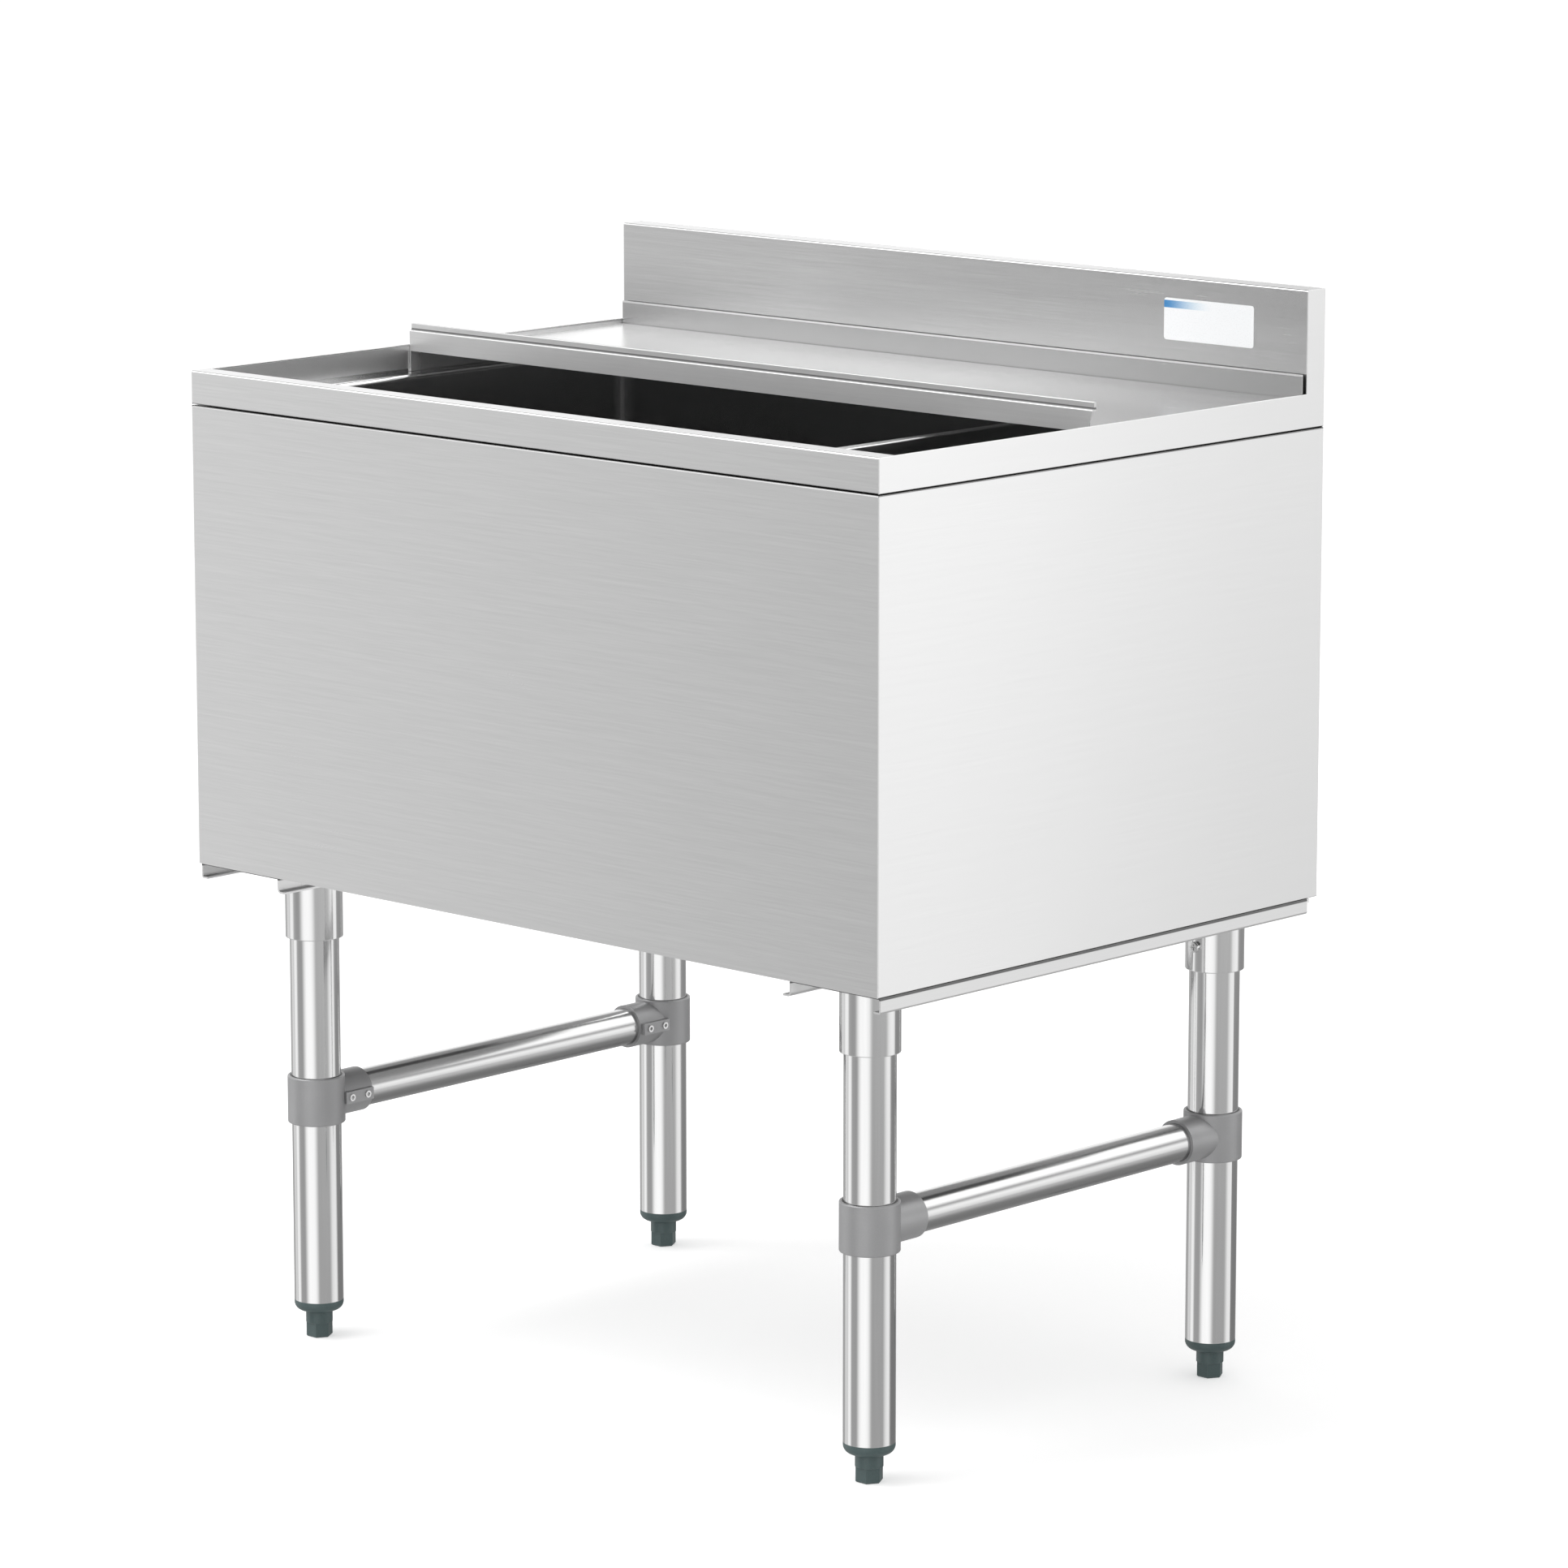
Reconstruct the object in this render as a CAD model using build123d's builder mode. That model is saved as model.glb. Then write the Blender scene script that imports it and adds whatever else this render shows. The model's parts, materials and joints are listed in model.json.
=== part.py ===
from build123d import *
import os

# Underbar ice bin in millimetres: X across the front, +Y to the back, +Z up.
# The origin is on the floor, under the middle of the bin.

# Overall sizes
width = 762
depth = 527
floor_clearance = 405
body_height = 411
splash_rise = 83
splash_depth = 22
sheet = 1
bend_radius = 1.5
edge_round = 0.6
overrun = 5

# Rim, band and recess
band_height = 27.5
band_return = 8
seam_gap = 1
rim_ledge = 20
lip_thickness = 2
lip_round = 0.6
recess_depth = 23
ledge_width = 18
ledge_round = 4
splash_lip = 12
panel_return = 15
pan_flange = 15

# Well of the liner
well_corner = 15
well_cove = 10
floor_lift = 45
floor_fall = 8
drain_flat = 120
drain_flat_corner = 12
foam_clearance = 1

# Lid
lid_sheet = 1.2
lid_clearance = 0.3
lid_drop = 4
lid_setback = 245
lid_splash_gap = 2.4
lid_front_rise = 22
lid_hem_height = 6
lid_joggle = 2.4
lid_joggle_round = 0.9
lid_rear_rise = 19.5
lid_notch = 4

# Divider, hanging from the front and rear ledges
divider_x = 212
divider_sheet = 1.2
divider_clearance = 0.3
divider_flange = 10
divider_hem = 5
divider_tab = 14
divider_floor_gap = 12

# Drain
drain_flange_radius = 38
drain_flange_thickness = 2
drain_cup_radius = 29
drain_cup_wall = 2
drain_cup_depth = 15
drain_cup_floor = 2.5
drain_thread_radius = 16.7
drain_thread_proud = 1
drain_tail_radius = 16
drain_bore_radius = 13
drain_drop = 45
drain_clearance = 0.2
drain_foam_gap = 0.8
gasket_radius = 27
gasket_thickness = 2
locknut_flats = 46
locknut_height = 9
locknut_chamfer = 1.5
strainer_seat = 2
strainer_thickness = 1.2
strainer_hole = 5
strainer_inner_ring = 9
strainer_inner_holes = 6
strainer_outer_ring = 18
strainer_outer_holes = 12
strainer_clearance = 0.3

# Channels that carry the legs
channel_width = 94
channel_drop = 13
channel_sheet = 1.5
channel_bend = 2
channel_lip = 7
channel_front_setback = 3
channel_rear_setback = 12

# Legs, sockets and side rails
leg_inset = 68
leg_front = 66
leg_rear = 46
leg_radius = 20.65
leg_wall = 1.5
socket_radius = 24
socket_drop = 62
socket_round = 0.8
socket_plate_length = 80
socket_plate_thickness = 3
socket_plate_gap = 1
tube_clearance = 0.1
rail_height = 205
rail_radius = 15.9
rail_wall = 1.5
tee_radius = 24
tee_height = 40
tee_reach = 47
tee_branch_radius = 18.6
tee_socket_depth = 21
tee_round = 1
tee_pad_start = 14
tee_pad_end = 45
tee_pad_height = 10
tee_pad_face = 22

# Screws
screw_head_radius = 4.5
screw_head_height = 3
screw_head_round = 1.4
screw_shank_radius = 2.5
screw_length = 9
screw_slot_width = 1.2
screw_slot_length = 5
screw_slot_depth = 1.6
screw_rise = 21
set_screw_radius = 3
set_screw_length = 6
set_screw_proud = 1.2
set_screw_key = 3
set_screw_key_depth = 2
set_screw_first = 20
set_screw_second = 38

# Feet and their inserts
foot_hex_flats = 19.4
foot_hex_height = 12.5
foot_chamfer = 1
foot_neck_radius = 11.2
foot_neck_height = 10.3
foot_neck_round = 1
foot_clearance = 0.3
foot_stem_radius = 6
foot_stem_length = 56
insert_flange_height = 9.3
insert_round = 7
insert_plug_length = 30
insert_plug_round = 2

# Planes and faces of the cabinet
x_side = width / 2
y_front = -depth / 2
y_back = depth / 2
z_base = floor_clearance
z_rim = z_base + body_height
z_top = z_rim + splash_rise
z_band = z_rim - band_height
z_seam = z_band - seam_gap
z_ledge = z_rim - recess_depth
y_splash = y_back - splash_depth
y_rim_inner = y_front + rim_ledge

# Inner faces of the recess and of the well
x_recess = x_side - lip_thickness
y_recess_front = y_rim_inner - sheet
y_recess_back = y_splash + sheet
x_well = x_recess - ledge_width
y_well_front = y_rim_inner + ledge_width
y_well_back = y_splash - ledge_width
y_well_middle = (y_well_front + y_well_back) / 2
z_floor_edge = z_base + floor_lift
z_drain = z_floor_edge - floor_fall
z_liner_top = z_rim - bend_radius

# Legs stand at these places
corners = {
    "front_left": (-x_side + leg_inset, y_front + leg_front),
    "front_right": (x_side - leg_inset, y_front + leg_front),
    "rear_left": (-x_side + leg_inset, y_back - leg_rear),
    "rear_right": (x_side - leg_inset, y_back - leg_rear),
}
sides = {"left": -1, "right": 1}
z_socket_low = z_base - socket_drop
z_web = z_base - channel_sheet
z_leg_top = z_web - socket_plate_thickness
z_neck_top = foot_hex_height + foot_neck_height
z_insert_low = z_neck_top + foot_clearance
z_leg_low = z_insert_low + insert_flange_height

os.makedirs("parts", exist_ok=True)


def save(name, piece):
    piece.label = name
    export_step(piece, f"parts/{name}.step")


def slab(x, y, z, mode=Mode.ADD):
    # a block between pairs of faces, in the part that is being built
    low = Vector(min(x), min(y), min(z))
    high = Vector(max(x), max(y), max(z))
    size = high - low
    with Locations((low + high) / 2):
        Box(size.X, size.Y, size.Z, mode=mode)


def folded(plane, outline, radius, wall):
    # a bent sheet seen from its end: the outline is the outer face, with the metal on its right
    with BuildSketch(plane) as profile:
        with BuildLine():
            FilletPolyline(*outline, radius=radius)
            offset(amount=wall, side=Side.RIGHT)
        make_face()
    return profile.sketch


def tank_form(grow, top):
    # the hollow of the liner, grown outward all round for its outer face
    with BuildPart() as form:
        with BuildSketch(Plane.XY.offset(z_floor_edge - grow)) as upper:
            with Locations((0, y_well_middle)):
                RectangleRounded(
                    2 * (x_well + grow),
                    y_well_back - y_well_front + 2 * grow,
                    well_corner + grow,
                )
        with BuildSketch(Plane.XY.offset(z_drain - grow)):
            with Locations((0, y_well_middle)):
                RectangleRounded(drain_flat, drain_flat, drain_flat_corner)
        loft(ruled=True)
        extrude(to_extrude=upper.sketch, amount=z_ledge - z_floor_edge)
        slab(
            (-x_recess - grow, x_recess + grow),
            (y_recess_front - grow, y_recess_back + grow),
            (z_ledge - grow, top),
        )
        ledge = form.faces().filter_by(Plane.XY).sort_by(Axis.Z)[1]
        fillet(ledge.inner_wires()[0].edges(), radius=ledge_round - grow)
        floor_edges = form.edges().group_by(Axis.Z)[2]
        fillet(floor_edges, radius=well_cove + grow)
    return form.part


# Shell: front panel with a return under the band
with BuildPart() as front_panel:
    front_outline = [
        (y_front, z_base),
        (y_front, z_seam),
        (y_front + panel_return, z_seam),
    ]
    extrude(
        to_extrude=folded(
            Plane.YZ.offset(-x_side + sheet), front_outline, bend_radius, sheet
        ),
        amount=2 * (x_side - sheet),
    )
save("front_panel", front_panel.part)

# Back panel: a flat sheet up to the top of the backsplash
with BuildPart() as back_panel:
    slab((-x_side + sheet, x_side - sheet), (y_back - sheet, y_back), (z_base, z_top))
save("back_panel", back_panel.part)


def side_panel(side):
    # a sheet with joggled flanges behind the front and back panels and a return at the top
    x_outer = side * x_side
    x_inner = side * (x_side - sheet)
    x_flange = side * (x_side - panel_return)
    with BuildPart() as panel:
        slab((x_inner, x_outer), (y_front, y_back), (z_base, z_seam))
        outer_face = panel.faces().filter_by(Axis.X).sort_by(Axis.X)[0 if side < 0 else -1]
        fillet(outer_face.edges(), radius=edge_round)
        z_flange = (z_base + sheet, z_seam - sheet - bend_radius)
        slab((x_inner, x_flange), (y_front + sheet, y_front + 2 * sheet), z_flange)
        slab((x_inner, x_flange), (y_back - 2 * sheet, y_back - sheet), z_flange)
        slab(
            (x_inner, x_flange),
            (y_front + panel_return, y_back - sheet),
            (z_seam - sheet, z_seam),
        )
    return panel.part


for side_name, side in sides.items():
    save(f"{side_name}_side_panel", side_panel(side))

# Bottom pan: a plate with upturned flanges inside the shell and a hole for the drain
with BuildPart() as bottom_pan:
    x_pan = x_side - sheet
    y_pan_front = y_front + sheet
    y_pan_back = y_back - sheet
    x_pan_flange = x_side - panel_return - sheet
    slab((-x_pan, x_pan), (y_pan_front, y_pan_back), (z_base, z_base + sheet))
    slab(
        (-x_pan_flange, x_pan_flange),
        (y_pan_front, y_pan_front + sheet),
        (z_base, z_base + pan_flange),
    )
    slab(
        (-x_pan_flange, x_pan_flange),
        (y_pan_back - sheet, y_pan_back),
        (z_base, z_base + pan_flange),
    )
    for side in sides.values():
        slab(
            (side * x_pan, side * (x_pan - sheet)),
            (y_pan_front + sheet, y_pan_back - sheet),
            (z_base, z_base + pan_flange),
        )
    with BuildSketch(Plane.XY.offset(z_base)):
        with Locations((0, y_well_middle)):
            Circle(drain_thread_radius + drain_clearance)
    extrude(amount=sheet, mode=Mode.SUBTRACT)
save("bottom_pan", bottom_pan.part)

# Front rim: the band, the flat ledge on top and the edge that turns down into the recess
with BuildPart() as front_rim:
    rim_outline = [
        (y_front + band_return, z_band),
        (y_front, z_band),
        (y_front, z_rim),
        (y_rim_inner, z_rim),
        (y_rim_inner, z_ledge),
    ]
    extrude(
        to_extrude=folded(
            Plane.YZ.offset(-x_side + sheet), rim_outline, bend_radius, sheet
        ),
        amount=2 * (x_side - sheet),
    )
    for side in sides.values():
        slab(
            (side * x_recess, side * x_side),
            (y_recess_front - sheet, y_rim_inner),
            (z_ledge, z_rim - sheet),
            mode=Mode.SUBTRACT,
        )
save("front_rim", front_rim.part)


def end_cap(side):
    # side band and the closed end of the backsplash in one sheet, with a lip along the recess
    x_outer = side * x_side
    x_inner = side * (x_side - sheet)
    with BuildPart() as cap:
        with BuildSketch(Plane.YZ.offset(x_inner)) as outline:
            with BuildLine():
                Polyline(
                    (y_front, z_band),
                    (y_front, z_rim),
                    (y_splash, z_rim),
                    (y_splash, z_top),
                    (y_back, z_top),
                    (y_back, z_band),
                    close=True,
                )
            make_face()
            front_top = outline.vertices().group_by(Axis.X)[0].sort_by(Axis.Y)[-1]
            splash_top = outline.vertices().group_by(Axis.Y)[-1].sort_by(Axis.X)[0]
            fillet([front_top, splash_top], radius=bend_radius)
        extrude(amount=side * sheet)
        outer_face = cap.faces().filter_by(Axis.X).sort_by(Axis.X)[0 if side < 0 else -1]
        fillet(outer_face.edges(), radius=edge_round)
        slab(
            (x_inner, side * x_recess),
            (y_rim_inner, y_splash),
            (z_rim - sheet, z_rim),
        )
        lip_edges = cap.edges().filter_by(Axis.Y).group_by(Axis.X)[-1 if side < 0 else 0]
        fillet(lip_edges.sort_by(Axis.Z)[-1], radius=lip_round)
        slab(
            (x_inner, x_outer - side * band_return),
            (y_front + band_return, y_back - sheet),
            (z_band, z_band + sheet),
        )
    return cap.part


for side_name, side in sides.items():
    save(f"{side_name}_end_cap", end_cap(side))

# Backsplash: front face, top and a lip turned down inside the back panel
with BuildPart() as backsplash:
    splash_outline = [
        (y_splash, z_ledge),
        (y_splash, z_top),
        (y_back - sheet, z_top),
        (y_back - sheet, z_top - splash_lip),
    ]
    extrude(
        to_extrude=folded(
            Plane.YZ.offset(-x_side + sheet), splash_outline, bend_radius, sheet
        ),
        amount=2 * (x_side - sheet),
    )
    for side in sides.values():
        slab(
            (side * x_recess, side * x_side),
            (y_splash - overrun, y_recess_back),
            (z_ledge, z_rim),
            mode=Mode.SUBTRACT,
        )
save("backsplash", backsplash.part)

# Liner: recess, ledge, well and falling floor
tank_outside = tank_form(sheet, z_liner_top)
with BuildPart() as liner:
    add(tank_outside)
    add(tank_form(0, z_liner_top + overrun), mode=Mode.SUBTRACT)
    with BuildSketch(Plane.XY.offset(z_drain - sheet)):
        with Locations((0, y_well_middle)):
            Circle(drain_cup_radius + drain_clearance)
    extrude(amount=sheet, mode=Mode.SUBTRACT)
save("liner", liner.part)

# Insulation between the liner and the shell
x_foam = x_side - 2 * sheet
x_tank = x_well + sheet
y_foam_front = y_front + 2 * sheet
y_foam_back = y_back - 2 * sheet
y_tank_front = y_well_front - sheet
y_tank_back = y_well_back + sheet
z_foam_low = z_base + sheet
z_foam_top = z_seam - sheet - foam_clearance


def insulation(x, y):
    with BuildPart() as foam:
        slab(x, y, (z_foam_low, z_foam_top))
        add(tank_outside, mode=Mode.SUBTRACT)
    return foam.part


save("front_insulation", insulation((-x_tank, x_tank), (y_foam_front, y_tank_front)))
save("rear_insulation", insulation((-x_tank, x_tank), (y_tank_back, y_foam_back)))
for side_name, side in sides.items():
    side_foam = insulation(
        (side * x_tank, side * x_foam),
        (y_foam_front + foam_clearance, y_foam_back - foam_clearance),
    )
    save(f"{side_name}_insulation", side_foam)

with BuildPart() as bottom_insulation:
    slab((-x_tank, x_tank), (y_tank_front, y_tank_back), (z_foam_low, z_floor_edge))
    add(tank_outside, mode=Mode.SUBTRACT)
    with BuildSketch(Plane.XY.offset(z_foam_low)):
        with Locations((0, y_well_middle)):
            Circle(drain_cup_radius + drain_foam_gap)
    extrude(amount=floor_lift, mode=Mode.SUBTRACT)
save("bottom_insulation", bottom_insulation.part)

# Lid: folded sheet whose sides hang on the recess ledge
x_lid = x_recess - lid_clearance
y_lid_front = y_front + lid_setback
y_lid_back = y_splash - lid_splash_gap
z_lid = z_rim - lid_drop
z_lid_low = z_ledge + lid_clearance
z_joggle = z_lid + lid_front_rise - lid_hem_height
with BuildPart() as lid:
    with BuildSketch(Plane.XZ.offset(-y_lid_back)):
        with BuildLine():
            FilletPolyline(
                (-x_lid, z_lid_low),
                (-x_lid, z_lid),
                (x_lid, z_lid),
                (x_lid, z_lid_low),
                radius=bend_radius,
            )
            offset(amount=lid_sheet, side=Side.RIGHT)
        make_face()
    extrude(amount=y_lid_back - y_lid_front)
    slab(
        (-x_lid, x_lid),
        (y_lid_front, y_lid_front + lid_sheet),
        (z_lid - bend_radius, z_joggle),
    )
    slab(
        (-x_lid, x_lid),
        (y_lid_front, y_lid_front + lid_joggle + lid_sheet),
        (z_joggle - lid_sheet, z_joggle),
    )
    slab(
        (-x_lid, x_lid),
        (y_lid_front + lid_joggle, y_lid_front + lid_joggle + 2 * lid_sheet),
        (z_joggle - lid_sheet, z_lid + lid_front_rise),
    )
    slab(
        (-x_lid, x_lid),
        (y_lid_back - lid_sheet, y_lid_back),
        (z_lid - lid_sheet, z_lid + lid_rear_rise),
    )
    with BuildSketch(Plane.XZ.offset(-y_lid_front - lid_joggle)):
        with BuildLine():
            Polyline(
                (x_lid, z_lid),
                (x_lid - lid_notch, z_lid),
                (x_lid, z_joggle - lid_sheet),
                close=True,
            )
        make_face()
    extrude(amount=lid_joggle, mode=Mode.SUBTRACT)
    hem_edges = lid.edges().filter_by(Axis.X).group_by(Axis.Z)[-1]
    fillet(hem_edges, radius=lid_sheet / 2)
    joggle_low, joggle_high = z_joggle - lid_joggle_round, z_joggle + lid_joggle_round
    joggle_edges = lid.edges().filter_by(Axis.X).filter_by_position(Axis.Z, joggle_low, joggle_high)
    fillet(joggle_edges, radius=lid_joggle_round)
save("lid", lid.part)

# Divider: plate with a folded top whose ends ride on the ledges
z_divider = z_ledge + divider_clearance + divider_sheet
with BuildPart() as divider:
    divider_outline = [
        (divider_x, z_floor_edge + divider_floor_gap),
        (divider_x, z_divider),
        (divider_x + divider_flange, z_divider),
        (divider_x + divider_flange, z_divider - divider_hem),
    ]
    extrude(
        to_extrude=folded(
            Plane.XZ.offset(-y_well_back + ledge_round), divider_outline, bend_radius, divider_sheet
        ),
        amount=y_well_back - y_well_front - 2 * ledge_round,
    )
    slab(
        (divider_x + bend_radius, divider_x + divider_flange - bend_radius),
        (y_well_front - divider_tab, y_well_back + divider_tab),
        (z_divider - divider_sheet, z_divider),
    )
save("divider", divider.part)

# Drain body: flange on the tank floor, cup for the strainer, thread through the bottom, hose tail
z_cup = z_drain - drain_cup_depth
z_tail = z_base - drain_drop
z_thread = z_base - gasket_thickness - locknut_height - drain_thread_proud
z_flange = z_drain + drain_flange_thickness
with BuildPart() as drain_body:
    with BuildSketch(Plane.XZ.offset(-y_well_middle)):
        with BuildLine():
            Polyline(
                (drain_bore_radius, z_tail),
                (drain_tail_radius, z_tail),
                (drain_tail_radius, z_thread),
                (drain_thread_radius, z_thread),
                (drain_thread_radius, z_cup - drain_cup_floor),
                (drain_cup_radius, z_cup - drain_cup_floor),
                (drain_cup_radius, z_drain),
                (drain_flange_radius, z_drain),
                (drain_flange_radius, z_flange),
                (drain_cup_radius - drain_cup_wall, z_flange),
                (drain_cup_radius - drain_cup_wall, z_flange - strainer_seat),
                (drain_cup_radius - 2 * drain_cup_wall, z_flange - strainer_seat),
                (drain_cup_radius - 2 * drain_cup_wall, z_cup),
                (drain_bore_radius, z_cup),
                close=True,
            )
        make_face()
    revolve(axis=Axis((0, y_well_middle, 0), (0, 0, 1)))
save("drain_body", drain_body.part)

with BuildPart() as drain_strainer:
    with BuildSketch(Plane.XY.offset(z_flange - strainer_seat)):
        with Locations((0, y_well_middle)):
            Circle(drain_cup_radius - drain_cup_wall - strainer_clearance)
            Circle(strainer_hole / 2, mode=Mode.SUBTRACT)
            with PolarLocations(strainer_inner_ring, strainer_inner_holes):
                Circle(strainer_hole / 2, mode=Mode.SUBTRACT)
            with PolarLocations(strainer_outer_ring, strainer_outer_holes):
                Circle(strainer_hole / 2, mode=Mode.SUBTRACT)
    extrude(amount=strainer_thickness)
save("drain_strainer", drain_strainer.part)

with BuildPart() as drain_gasket:
    with BuildSketch(Plane.XY.offset(z_base - gasket_thickness)):
        with Locations((0, y_well_middle)):
            Circle(gasket_radius)
            Circle(drain_thread_radius + drain_clearance, mode=Mode.SUBTRACT)
    extrude(amount=gasket_thickness)
save("drain_gasket", drain_gasket.part)

with BuildPart() as drain_locknut:
    with BuildSketch(Plane.XY.offset(z_base - gasket_thickness - locknut_height)):
        with Locations((0, y_well_middle)):
            RegularPolygon(locknut_flats / 2, 6, major_radius=False)
    extrude(amount=locknut_height)
    chamfer(drain_locknut.edges().filter_by(Plane.XY), length=locknut_chamfer)
    with BuildSketch(Plane.XY.offset(z_base - gasket_thickness - locknut_height)):
        with Locations((0, y_well_middle)):
            Circle(drain_thread_radius + drain_clearance)
    extrude(amount=locknut_height, mode=Mode.SUBTRACT)
save("drain_locknut", drain_locknut.part)


def leg_channel(side):
    # inverted channel, its outer flange in line with the side panel, both lips towards the middle
    x_flange = x_side - channel_width
    z_low = z_base - channel_drop
    channel_outline = [
        (-x_side + channel_lip, z_low),
        (-x_side, z_low),
        (-x_side, z_base),
        (-x_flange, z_base),
        (-x_flange, z_low + channel_sheet),
        (-x_flange + channel_lip, z_low + channel_sheet),
    ]
    if side > 0:
        channel_outline = [(-x, z) for x, z in reversed(channel_outline)]
    y_end = y_back - channel_rear_setback
    with BuildPart() as channel:
        extrude(
            to_extrude=folded(
                Plane.XZ.offset(-y_end), channel_outline, channel_bend, channel_sheet
            ),
            amount=y_end - y_front - channel_front_setback,
        )
    return channel.part


for side_name, side in sides.items():
    save(f"{side_name}_leg_channel", leg_channel(side))


def leg_socket(x, y, side, facing):
    # tube under a plate that is welded inside the channel, with a screw hole
    x_near = side * (x_side - channel_sheet - socket_plate_gap)
    x_far = side * (x_side - channel_width + channel_sheet + socket_plate_gap)
    with BuildPart() as socket:
        slab(
            (x_near, x_far),
            (y - socket_plate_length / 2, y + socket_plate_length / 2),
            (z_leg_top, z_web),
        )
        with BuildSketch(Plane.XY.offset(z_socket_low)):
            with Locations((x, y)):
                Circle(socket_radius)
        extrude(amount=z_leg_top - z_socket_low)
        mouth = socket.faces().filter_by(Plane.XY).sort_by(Axis.Z)[0]
        fillet(mouth.edges(), radius=socket_round)
        with BuildSketch(Plane.XY.offset(z_socket_low)):
            with Locations((x, y)):
                Circle(leg_radius + tube_clearance)
        extrude(amount=z_leg_top - z_socket_low, mode=Mode.SUBTRACT)
        add(screw_hole(x, y, facing), mode=Mode.SUBTRACT)
    return socket.part


def screw_hole(x, y, facing):
    # the way for a socket screw, from outside the socket into the leg
    with BuildPart() as hole:
        with BuildSketch(screw_plane(x, y, facing)):
            Circle(screw_shank_radius)
        extrude(amount=overrun)
        extrude(to_extrude=hole.faces().sort_by(Axis.Y)[0 if facing > 0 else -1], amount=screw_length)
    return hole.part


def screw_plane(x, y, facing):
    # plane of the screw's seat, with its normal out of the socket
    seat = (x, y + facing * socket_radius, z_socket_low + screw_rise)
    return Plane(origin=seat, x_dir=(1, 0, 0), z_dir=(0, facing, 0))


def socket_screw(x, y, facing):
    # pan head with a cross recess and a plain shank
    seat = screw_plane(x, y, facing)
    with BuildPart() as screw:
        with BuildSketch(seat):
            Circle(screw_head_radius)
        extrude(amount=screw_head_height)
        crown = screw.faces().sort_by(Axis.Y)[-1 if facing > 0 else 0]
        fillet(crown.edges(), radius=screw_head_round)
        with BuildSketch(seat):
            Circle(screw_shank_radius)
        extrude(amount=-screw_length)
        with BuildSketch(seat.offset(screw_head_height)):
            Rectangle(screw_slot_length, screw_slot_width)
            Rectangle(screw_slot_width, screw_slot_length)
        extrude(amount=-screw_slot_depth, mode=Mode.SUBTRACT)
    return screw.part


def leg(x, y, facing):
    with BuildPart() as tube:
        with BuildSketch(Plane.XY.offset(z_leg_low)):
            with Locations((x, y)):
                Circle(leg_radius)
                Circle(leg_radius - leg_wall, mode=Mode.SUBTRACT)
        extrude(amount=z_leg_top - z_leg_low)
        add(screw_hole(x, y, facing), mode=Mode.SUBTRACT)
    return tube.part


def tee(x, y, side, facing):
    # sleeve round the leg, a branch for the side rail and a pad for the two set screws
    with BuildPart() as fitting:
        with BuildSketch(Plane.XY.offset(rail_height - tee_height / 2)):
            with Locations((x, y)):
                Circle(tee_radius)
        extrude(amount=tee_height)
        rims = fitting.edges().filter_by(GeomType.CIRCLE)
        fillet(rims, radius=tee_round)
        mouth_plane = Plane(
            origin=(x, y + facing * tee_reach, rail_height), x_dir=(1, 0, 0), z_dir=(0, facing, 0)
        )
        with BuildSketch(mouth_plane):
            Circle(tee_branch_radius)
        extrude(amount=-tee_reach)
        pad_x = (x, x - side * tee_pad_face)
        pad_y = (y + facing * tee_pad_start, y + facing * tee_pad_end)
        pad_z = (rail_height - tee_pad_height / 2, rail_height + tee_pad_height / 2)
        slab(pad_x, pad_y, pad_z)
        with BuildSketch(Plane.XY.offset(rail_height - tee_height / 2)):
            with Locations((x, y)):
                Circle(leg_radius + tube_clearance)
        extrude(amount=tee_height, mode=Mode.SUBTRACT)
        with BuildSketch(mouth_plane):
            Circle(rail_radius + tube_clearance)
        extrude(amount=-tee_socket_depth, mode=Mode.SUBTRACT)
        add(tee_screws(x, y, side, facing, set_screw_length), mode=Mode.SUBTRACT)
    return fitting.part


def tee_screws(x, y, side, facing, length):
    # two plain screws whose heads stand a little out of the pad
    with BuildPart() as screws:
        for place in (set_screw_first, set_screw_second):
            head = (x - side * (tee_pad_face + set_screw_proud), y + facing * place, rail_height)
            with BuildSketch(Plane(origin=head, x_dir=(0, 1, 0), z_dir=(-side, 0, 0))):
                Circle(set_screw_radius)
            extrude(amount=-length)
    return screws.part


def keyed_tee_screws(x, y, side, facing):
    with BuildPart() as screws:
        add(tee_screws(x, y, side, facing, set_screw_length))
        for place in (set_screw_first, set_screw_second):
            head = (x - side * (tee_pad_face + set_screw_proud), y + facing * place, rail_height)
            with BuildSketch(Plane(origin=head, x_dir=(0, 1, 0), z_dir=(-side, 0, 0))):
                RegularPolygon(set_screw_key / 2, 6, major_radius=False)
            extrude(amount=-set_screw_key_depth, mode=Mode.SUBTRACT)
    return screws.part


def foot_insert(x, y):
    # plastic plug in the leg's end, with a rounded flange and a bore for the stem
    with BuildPart() as insert:
        with BuildSketch(Plane.XY.offset(z_insert_low)):
            with Locations((x, y)):
                Circle(leg_radius)
        extrude(amount=insert_flange_height)
        underside = insert.faces().filter_by(Plane.XY).sort_by(Axis.Z)[0]
        fillet(underside.edges(), radius=insert_round)
        with BuildSketch(Plane.XY.offset(z_leg_low)):
            with Locations((x, y)):
                Circle(leg_radius - leg_wall - tube_clearance)
        extrude(amount=insert_plug_length)
        plug_end = insert.faces().filter_by(Plane.XY).sort_by(Axis.Z)[-1]
        fillet(plug_end.edges(), radius=insert_plug_round)
        with BuildSketch(Plane.XY.offset(z_insert_low)):
            with Locations((x, y)):
                Circle(foot_stem_radius + foot_clearance)
        extrude(amount=insert_flange_height + insert_plug_length, mode=Mode.SUBTRACT)
    return insert.part


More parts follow.
